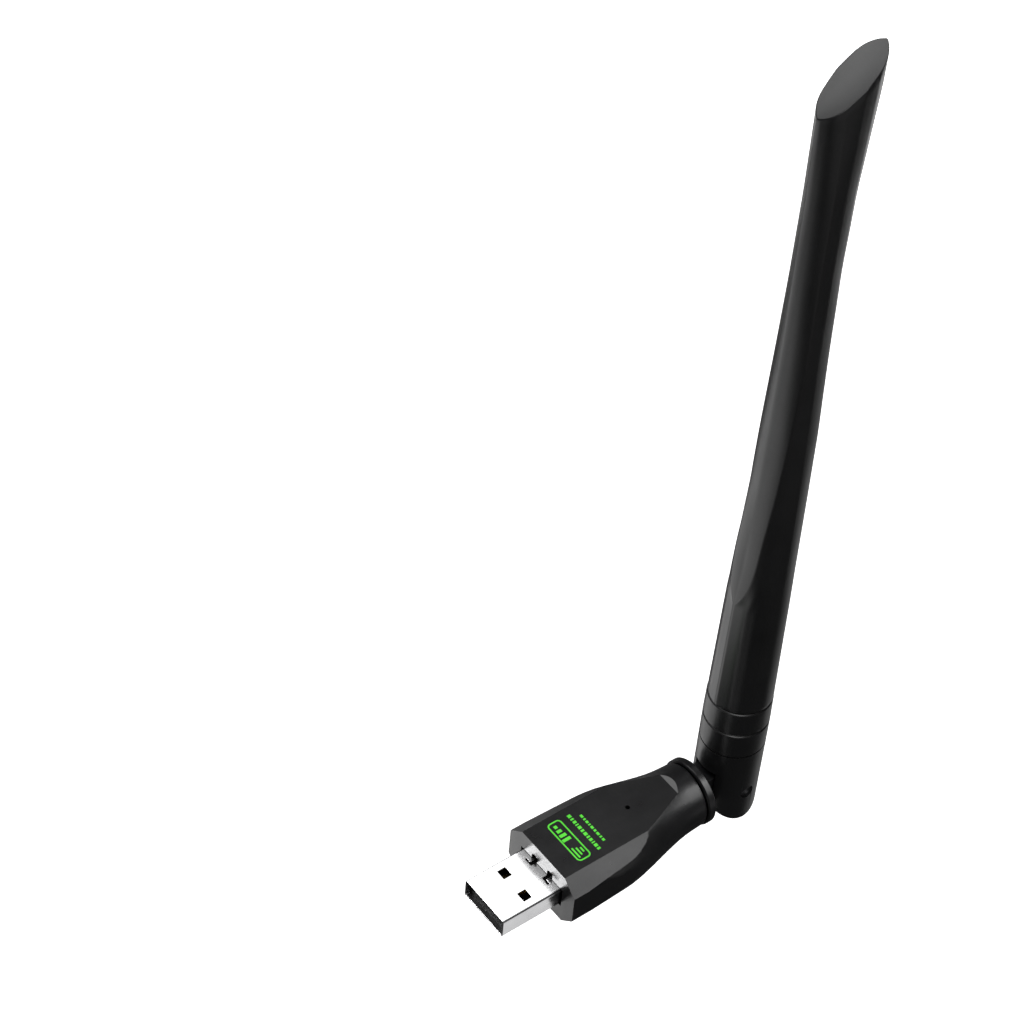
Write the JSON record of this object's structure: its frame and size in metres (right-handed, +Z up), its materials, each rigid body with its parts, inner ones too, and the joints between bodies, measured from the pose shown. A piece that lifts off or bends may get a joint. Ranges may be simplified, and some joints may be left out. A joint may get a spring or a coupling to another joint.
{
  "type": "usb wifi adapter",
  "caption": "Plug-in wifi adapter: a USB plug in a small faceted housing, with a rod antenna that swivels on the housing's neck and folds at a hinge.",
  "frame": {"origin": "on the USB plug's axis, in the plane of the housing's front face", "axes": "-Y points the way the plug goes in, +Y runs back along the housing to the antenna's hinge, +Z is up along the raised antenna, +X is across the plug"},
  "size_m": [0.02, 0.0662, 0.1805],
  "materials": {
    "plug_metal": "bright nickel-plated steel sheet",
    "insulator": "black moulded plastic",
    "contact_gold": "gold-flashed spring bronze",
    "housing_black": "satin black moulded plastic",
    "board_green": "solder mask over glass laminate",
    "chip_black": "black epoxy",
    "can_metal": "pressed metal can",
    "chip_ceramic": "tan ceramic chips",
    "led_lens": "clear-white diode lens",
    "cable_black": "thin black coaxial cable jacket",
    "solder": "dull solder",
    "badge_green": "bright green ink",
    "collar_black": "satin black moulded plastic",
    "antenna_black": "half-gloss black moulded plastic",
    "pin_metal": "turned steel pin",
    "brass_tube": "thin brass tube",
    "shrink_black": "heat-shrunk tubing",
    "copper_wire": "enamelled copper wire"
  },
  "bodies": {
    "adapter": {"usb_shell": "plug_metal", "usb_insulator": "insulator", "usb_contacts": "contact_gold", "housing_top": "housing_black", "housing_bottom": "housing_black", "circuit_board": "board_green", "wifi_chip": "chip_black", "flash_chip": "chip_black", "crystal": "can_metal", "chip_parts": "chip_ceramic", "status_led": "led_lens", "coax_feed": "cable_black", "coax_solder": "solder", "badge_print": "badge_green"},
    "collar": {"swivel_collar": "collar_black", "coax_hinge": "cable_black"},
    "antenna": {"antenna_knuckle": "antenna_black", "hinge_pin_right": "pin_metal", "hinge_pin_left": "pin_metal", "hinge_sleeve": "antenna_black", "antenna_tube": "antenna_black", "coax_antenna": "cable_black", "dipole_sleeve": "brass_tube", "sleeve_solder": "solder", "heat_shrink": "shrink_black", "whip_lower": "copper_wire", "phasing_coil": "copper_wire", "whip_upper": "copper_wire"}
  },
  "joints": [
    {"name": "swivel", "type": "hinge", "parent": "adapter", "child": "collar", "pos_m": [0, 0.0366, 0], "axis": [0, 1, 0], "range_deg": [-180, 180]},
    {"name": "tilt", "type": "hinge", "parent": "collar", "child": "antenna", "pos_m": [0, 0.0461, 0], "axis": [1, 0, 0], "range_deg": [-90, 0], "deforming": ["coax_hinge"]}
  ]
}
